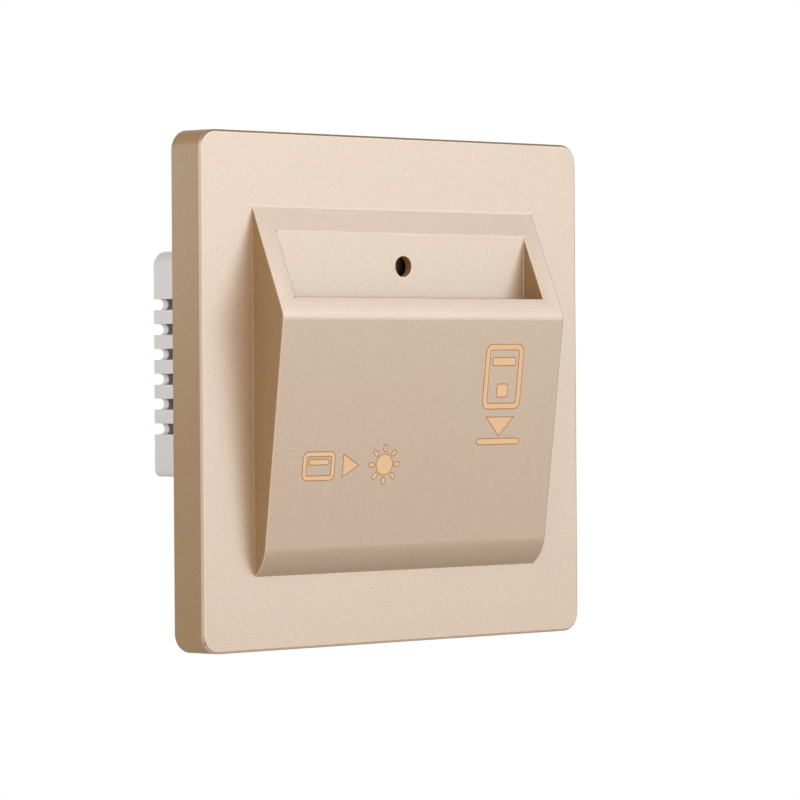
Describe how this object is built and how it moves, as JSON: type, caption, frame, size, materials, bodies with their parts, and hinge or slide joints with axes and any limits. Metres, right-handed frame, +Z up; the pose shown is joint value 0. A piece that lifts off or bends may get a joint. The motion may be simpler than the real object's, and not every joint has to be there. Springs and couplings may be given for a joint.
{
  "type": "key card switch",
  "caption": "Square wall-mounted key card switch: champagne cover plate with a wedge-shaped card hood, mounting frame, and a rear housing with relay and terminals.",
  "frame": {"origin": "midway between the two wall screw slots, on the wall plane at the back of the mounting frame", "axes": "+X right as seen from the room, +Y into the wall, +Z up"},
  "size_m": [0.086, 0.0472, 0.09],
  "materials": {
    "cover_paint": "matt champagne metallic paint on moulded plastic",
    "frame_plastic": "matt off-white moulded plastic",
    "housing_plastic": "matt pale grey moulded plastic",
    "lever_plastic": "natural acetal",
    "board_laminate": "green solder-masked glass laminate",
    "black_plastic": "black moulded plastic",
    "plunger_plastic": "red moulded plastic",
    "steel": "zinc plated steel",
    "iron": "soft iron, plated",
    "brass": "tinned brass",
    "copper_wire": "enamelled copper wire on a bobbin",
    "lamp_resin": "clear epoxy",
    "relay_plastic": "blue moulded plastic",
    "film_case": "yellow moulded case",
    "can_sleeve": "aluminium can in a shrink sleeve",
    "resistor_body": "lacquered film resistor",
    "block_plastic": "dark grey moulded plastic"
  },
  "bodies": {
    "base": {"mounting_frame": "frame_plastic", "rear_housing": "housing_plastic", "housing_screws": "steel", "circuit_board": "board_laminate", "lever_pin": "steel", "lever_spring": "steel", "switch_case": "black_plastic", "switch_lid": "black_plastic", "switch_terminals": "brass", "indicator_lamp": "lamp_resin", "lamp_leads": "steel", "relay_base": "black_plastic", "relay_cover": "relay_plastic", "relay_coil": "copper_wire", "relay_yoke": "iron", "relay_contacts": "brass", "film_capacitor": "film_case", "electrolytic_capacitors": "can_sleeve", "resistors": "resistor_body", "diodes": "black_plastic", "control_chip": "black_plastic", "terminal_block": "block_plastic", "bus_bars": "brass"},
    "cover": {"front_cover": "cover_paint"},
    "lever": {"card_lever": "lever_plastic"},
    "plunger": {"switch_plunger": "plunger_plastic"},
    "blade": {"switch_blade": "brass"},
    "armature": {"relay_armature": "iron"},
    "screw_1": {"terminal_screw_1": "steel"},
    "clamp_1": {"terminal_clamp_1": "steel"},
    "screw_2": {"terminal_screw_2": "steel"},
    "clamp_2": {"terminal_clamp_2": "steel"},
    "screw_3": {"terminal_screw_3": "steel"},
    "clamp_3": {"terminal_clamp_3": "steel"}
  },
  "joints": [
    {"name": "cover_pull", "type": "slide", "parent": "base", "child": "cover", "axis": [0, -1, 0], "range_m": [0, 0.04]},
    {"name": "lever_swing", "type": "hinge", "parent": "base", "child": "lever", "pos_m": [0, -0.0047, 0.0052], "axis": [1, 0, 0], "range_deg": [0, 16], "stiffness_Nm_per_rad": 0.008, "springref_deg": -20.05, "deforming": ["lever_spring"]},
    {"name": "plunger_press", "type": "slide", "parent": "base", "child": "plunger", "axis": [0, 1, 0], "range_m": [0, 0.0014]},
    {"name": "blade_flex", "type": "hinge", "parent": "base", "child": "blade", "pos_m": [-0.0076, 0.0021, 0.0002], "axis": [0, 0, 1], "range_deg": [0, 8]},
    {"name": "armature_pull", "type": "hinge", "parent": "base", "child": "armature", "pos_m": [-0.0014, 0.02395, 0.0139], "axis": [0, 0, -1], "range_deg": [0, 4.5], "stiffness_Nm_per_rad": 0.008, "springref_deg": -11.46},
    {"name": "screw_1_turn", "type": "hinge", "parent": "base", "child": "screw_1", "pos_m": [-0.0116, 0.026, -0.0078], "axis": [0, -1, 0], "range_deg": [0, 1800]},
    {"name": "clamp_1_rise", "type": "slide", "parent": "base", "child": "clamp_1", "axis": [0, 1, 0], "range_m": [0, 0.003]},
    {"name": "screw_2_turn", "type": "hinge", "parent": "base", "child": "screw_2", "pos_m": [0, 0.026, -0.0078], "axis": [0, -1, 0], "range_deg": [0, 1800]},
    {"name": "clamp_2_rise", "type": "slide", "parent": "base", "child": "clamp_2", "axis": [0, 1, 0], "range_m": [0, 0.003]},
    {"name": "screw_3_turn", "type": "hinge", "parent": "base", "child": "screw_3", "pos_m": [0.0116, 0.026, -0.0078], "axis": [0, -1, 0], "range_deg": [0, 1800]},
    {"name": "clamp_3_rise", "type": "slide", "parent": "base", "child": "clamp_3", "axis": [0, 1, 0], "range_m": [0, 0.003]}
  ],
  "couplings": [
    {"joint": "plunger_press", "follows": "lever_swing", "m_per_rad": 0.005},
    {"joint": "blade_flex", "follows": "lever_swing", "ratio": 0.49505},
    {"joint": "screw_1_turn", "follows": "clamp_1_rise", "rad_per_m": 10472},
    {"joint": "screw_2_turn", "follows": "clamp_2_rise", "rad_per_m": 10472},
    {"joint": "screw_3_turn", "follows": "clamp_3_rise", "rad_per_m": 10472}
  ]
}
